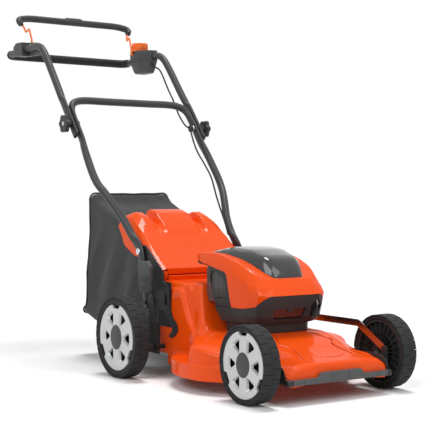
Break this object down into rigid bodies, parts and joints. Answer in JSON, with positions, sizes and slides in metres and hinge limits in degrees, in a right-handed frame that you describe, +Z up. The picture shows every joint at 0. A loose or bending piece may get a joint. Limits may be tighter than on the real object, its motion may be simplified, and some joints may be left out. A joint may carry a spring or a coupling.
{
  "type": "cordless lawn mower",
  "caption": "Walk-behind cordless lawn mower: shallow ring deck, domed motor cover, cranked axles, hinged discharge flap, rear grass bag and two-part folding handle with a bail.",
  "frame": {"origin": "on the ground under the middle of the whole mower, at the bottom centre of its box", "axes": "+Z up, +Y towards the grass bag and the user, +X towards the mower's own left side"},
  "size_m": [0.5164, 1.3326, 0.9931],
  "materials": {
    "orange_deck": "gloss moulded orange",
    "orange_shell": "gloss moulded orange",
    "orange_parts": "satin moulded orange",
    "dark_plastic": "fine-grained dark grey",
    "grey_plastic": "satin mid grey",
    "gloss_black": "gloss dark grey",
    "controller": "green circuit board",
    "motor_steel": "laminated steel",
    "blade_steel": "ground steel",
    "dark_paint": "satin dark grey powder coat",
    "plated_steel": "bright zinc plate",
    "silver_caps": "silver paint",
    "centre_caps": "satin dark grey",
    "tyre": "moulded tread",
    "grip_rubber": "soft foam-like sleeve",
    "cable_rubber": "smooth cable jacket",
    "bag_fabric": "coarse woven fabric"
  },
  "bodies": {
    "chassis": {"deck": "orange_deck", "front_bumper": "grey_plastic", "motor_pedestal": "dark_plastic", "motor_cover": "orange_shell", "cover_belt": "dark_plastic", "side_vent_left": "dark_plastic", "side_vent_right": "dark_plastic", "battery_tray": "dark_plastic", "controller_board": "controller", "motor_stator": "motor_steel", "lower_handle": "dark_paint", "handle_bracket_left": "dark_plastic", "handle_bracket_right": "dark_plastic", "handle_bolt_left": "plated_steel", "handle_bolt_right": "plated_steel", "knob_bolt_left": "plated_steel", "knob_bolt_right": "plated_steel", "flap_hinge_rod": "plated_steel", "lower_cable": "cable_rubber", "cable_clip": "dark_plastic"},
    "blade": {"blade": "blade_steel", "blade_holder": "dark_plastic", "motor_rotor": "motor_steel"},
    "rear_axle": {"rear_axle": "plated_steel", "height_lever": "dark_paint", "height_grip": "grip_rubber"},
    "front_axle": {"front_axle": "plated_steel"},
    "height_link": {"height_link": "dark_paint"},
    "wheel_front_left": {"tyre_front_left": "tyre", "rim_front_left": "dark_plastic", "hub_cap_front_left": "silver_caps", "centre_cap_front_left": "centre_caps"},
    "wheel_front_right": {"tyre_front_right": "tyre", "rim_front_right": "dark_plastic", "hub_cap_front_right": "silver_caps", "centre_cap_front_right": "centre_caps"},
    "wheel_rear_left": {"tyre_rear_left": "tyre", "rim_rear_left": "dark_plastic", "hub_cap_rear_left": "silver_caps", "centre_cap_rear_left": "centre_caps"},
    "wheel_rear_right": {"tyre_rear_right": "tyre", "rim_rear_right": "dark_plastic", "hub_cap_rear_right": "silver_caps", "centre_cap_rear_right": "centre_caps"},
    "upper_handle": {"upper_handle": "dark_paint", "push_grip": "grip_rubber", "control_housing": "grey_plastic", "bail_bracket_right": "dark_plastic", "upper_cable": "cable_rubber"},
    "star_knob_left": {"star_knob_left": "dark_plastic"},
    "star_knob_right": {"star_knob_right": "dark_plastic"},
    "bail": {"bail_bar": "dark_plastic", "bail_wire_left": "orange_parts", "bail_wire_right": "orange_parts"},
    "start_button": {"start_button": "orange_parts"},
    "battery_lid": {"battery_lid": "gloss_black"},
    "battery": {"battery_pack": "dark_plastic"},
    "rear_flap": {"rear_flap": "orange_shell"},
    "grass_bag": {"bag_frame": "plated_steel", "bag_fabric": "bag_fabric"}
  },
  "joints": [
    {"name": "cutting_height", "type": "hinge", "parent": "chassis", "child": "rear_axle", "pos_m": [0, -0.1475, 0.075], "axis": [-1, 0, 0], "range_deg": [0, 60]},
    {"name": "front_axle_turn", "type": "hinge", "parent": "chassis", "child": "front_axle", "pos_m": [0, -0.6235, 0.0611], "axis": [-1, 0, 0], "range_deg": [0, 60]},
    {"name": "height_link_turn", "type": "hinge", "parent": "rear_axle", "child": "height_link", "pos_m": [0, -0.1435, 0.1119], "axis": [-1, 0, 0], "range_deg": [-60, 0]},
    {"name": "wheel_front_left_spin", "type": "hinge", "parent": "front_axle", "child": "wheel_front_left", "pos_m": [0.19, -0.5802, 0.0861], "axis": [1, 0, 0], "continuous": true},
    {"name": "wheel_front_right_spin", "type": "hinge", "parent": "front_axle", "child": "wheel_front_right", "pos_m": [-0.19, -0.5802, 0.0861], "axis": [1, 0, 0], "continuous": true},
    {"name": "wheel_rear_left_spin", "type": "hinge", "parent": "rear_axle", "child": "wheel_rear_left", "pos_m": [0.23, -0.1042, 0.1], "axis": [1, 0, 0], "continuous": true},
    {"name": "wheel_rear_right_spin", "type": "hinge", "parent": "rear_axle", "child": "wheel_rear_right", "pos_m": [-0.23, -0.1042, 0.1], "axis": [1, 0, 0], "continuous": true},
    {"name": "blade_spin", "type": "hinge", "parent": "chassis", "child": "blade", "pos_m": [0, -0.3702, 0.037], "axis": [0, 0, 1], "continuous": true},
    {"name": "handle_fold", "type": "hinge", "parent": "chassis", "child": "upper_handle", "pos_m": [0, 0.2278, 0.643], "axis": [1, 0, 0], "range_deg": [0, 150], "deforming": ["upper_cable"]},
    {"name": "star_knob_left_turn", "type": "hinge", "parent": "chassis", "child": "star_knob_left", "pos_m": [0.22, 0.2278, 0.643], "axis": [1, 0, 0], "continuous": true},
    {"name": "star_knob_right_turn", "type": "hinge", "parent": "chassis", "child": "star_knob_right", "pos_m": [-0.22, 0.2278, 0.643], "axis": [1, 0, 0], "continuous": true},
    {"name": "bail_pull", "type": "hinge", "parent": "upper_handle", "child": "bail", "pos_m": [0, 0.5548, 0.8895], "axis": [-1, 0, 0], "range_deg": [0, 47], "stiffness_Nm_per_rad": 0.6, "springref_deg": -34.38},
    {"name": "start_press", "type": "slide", "parent": "upper_handle", "child": "start_button", "axis": [0, 0, -1], "range_m": [0, 0.004], "stiffness_N_per_m": 400, "springref_m": -0.002},
    {"name": "lid_open", "type": "hinge", "parent": "chassis", "child": "battery_lid", "pos_m": [0, -0.2642, 0.31691], "axis": [-1, 0, 0], "range_deg": [0, 95]},
    {"name": "battery_lift", "type": "slide", "parent": "chassis", "child": "battery", "axis": [0, 0, 1], "range_m": [0, 0.01]},
    {"name": "flap_lift", "type": "hinge", "parent": "chassis", "child": "rear_flap", "pos_m": [0, -0.1202, 0.2545], "axis": [1, 0, 0], "range_deg": [0, 70], "stiffness_Nm_per_rad": 0.3, "springref_deg": -28.65},
    {"name": "bag_pull", "type": "slide", "parent": "chassis", "child": "grass_bag", "axis": [0, 1, 0], "range_m": [0, 0.2]}
  ],
  "couplings": [
    {"joint": "front_axle_turn", "follows": "cutting_height", "ratio": 1},
    {"joint": "height_link_turn", "follows": "cutting_height", "ratio": -1}
  ]
}
